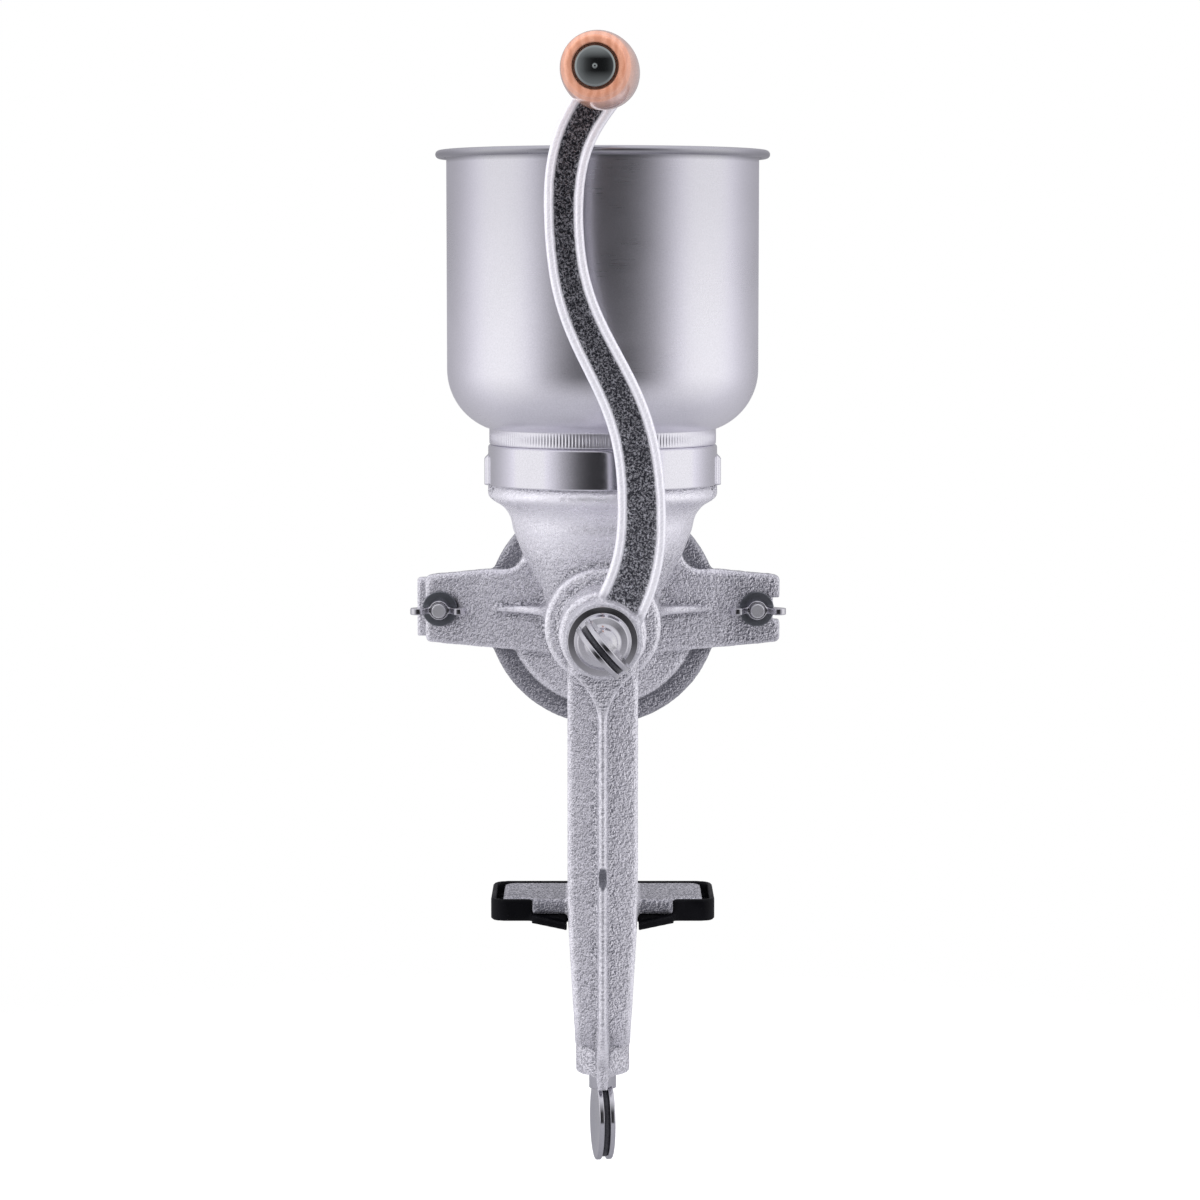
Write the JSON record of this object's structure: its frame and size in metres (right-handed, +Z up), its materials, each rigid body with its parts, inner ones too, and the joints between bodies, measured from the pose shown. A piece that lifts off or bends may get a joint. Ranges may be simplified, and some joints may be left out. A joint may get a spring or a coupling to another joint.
{
  "type": "hand grain mill",
  "caption": "Hand grain mill with a steel hopper, cast body and auger, grinding plates, an S-shaped crank with a wooden grip, and a screw clamp for a table's edge.",
  "frame": {"origin": "on the table top, in the middle of the foot pad's underside, straight above the clamp's spindle", "axes": "+Z up, +Y from the crank along the auger towards the grinding plates, +X to the right as seen from the crank"},
  "size_m": [0.1588, 0.341, 0.4545],
  "materials": {
    "casting": "tinned casting, rough grain",
    "bowl_steel": "satin stainless steel",
    "collar_steel": "satin stainless steel",
    "pad_rubber": "matt black",
    "plate_iron": "ground and darkened",
    "screw_steel": "zinc plated",
    "dark_steel": "darkened steel",
    "bright_steel": "polished nickel plate",
    "bronze": "plain bearing bronze",
    "grip_wood": "clear lacquer"
  },
  "bodies": {
    "mill": {"mill_body": "casting", "foot_pad": "pad_rubber", "fixed_plate": "plate_iron", "fixed_plate_screws": "screw_steel", "yoke": "casting", "yoke_bolts": "bright_steel", "lock_nut": "screw_steel"},
    "hopper": {"hopper_bowl": "bowl_steel", "hopper_collar": "collar_steel"},
    "thrust": {"thrust_ball": "bright_steel"},
    "adjuster": {"adjusting_screw": "bright_steel"},
    "rotor": {"auger": "casting", "thrust_washer": "bronze", "drive_pin": "screw_steel", "plate_carrier": "casting", "turning_plate": "plate_iron", "turning_plate_screws": "screw_steel", "crank_arm": "casting", "thumb_screw": "bright_steel", "grip_bolt": "bright_steel", "grip_nut": "screw_steel"},
    "grip": {"wooden_grip": "grip_wood"},
    "cup": {"clamp_cup": "bright_steel"},
    "spindle": {"clamp_screw": "bright_steel"},
    "left_washer": {"washer_left": "dark_steel"},
    "left_nut": {"wing_nut_left": "bright_steel"},
    "right_washer": {"washer_right": "dark_steel"},
    "right_nut": {"wing_nut_right": "bright_steel"}
  },
  "joints": [
    {"name": "hopper_lift", "type": "slide", "parent": "mill", "child": "hopper", "axis": [0, 0, 1], "range_m": [0, 0.05]},
    {"name": "grind_gap", "type": "slide", "parent": "mill", "child": "thrust", "axis": [0, 1, 0], "range_m": [-0.0006, 0.003]},
    {"name": "adjust_turn", "type": "hinge", "parent": "thrust", "child": "adjuster", "pos_m": [0, 0.12, 0.1185], "axis": [0, 1, 0], "range_deg": [-123.5, 617.2]},
    {"name": "crank_spin", "type": "hinge", "parent": "thrust", "child": "rotor", "pos_m": [0, 0, 0.1185], "axis": [0, 1, 0], "continuous": true},
    {"name": "grip_spin", "type": "hinge", "parent": "rotor", "child": "grip", "pos_m": [0.003, -0.0601, 0.3362], "axis": [0.0628, 0.998, 0], "continuous": true},
    {"name": "clamp_travel", "type": "slide", "parent": "mill", "child": "cup", "axis": [0, 0, 1], "range_m": [-0.0195, 0]},
    {"name": "clamp_turn", "type": "hinge", "parent": "cup", "child": "spindle", "pos_m": [0, 0, -0.06], "axis": [0, 0, 1], "range_deg": [-4680.5, 0]},
    {"name": "left_washer_slide", "type": "slide", "parent": "mill", "child": "left_washer", "axis": [0, 1, 0], "range_m": [-0.005, 0]},
    {"name": "left_nut_turn", "type": "hinge", "parent": "left_washer", "child": "left_nut", "pos_m": [-0.0693, 0.055, 0.1195], "axis": [0, 1, 0], "range_deg": [-1800, 0]},
    {"name": "right_washer_slide", "type": "slide", "parent": "mill", "child": "right_washer", "axis": [0, 1, 0], "range_m": [-0.005, 0]},
    {"name": "right_nut_turn", "type": "hinge", "parent": "right_washer", "child": "right_nut", "pos_m": [0.0655, 0.055, 0.1195], "axis": [0, 1, 0], "range_deg": [-1800, 0]}
  ],
  "couplings": [
    {"joint": "adjust_turn", "follows": "grind_gap", "rad_per_m": 3590.4},
    {"joint": "clamp_turn", "follows": "clamp_travel", "rad_per_m": 4188.8},
    {"joint": "left_washer_slide", "follows": "left_nut_turn", "m_per_rad": 0.00015915},
    {"joint": "right_washer_slide", "follows": "right_nut_turn", "m_per_rad": 0.00015915}
  ]
}
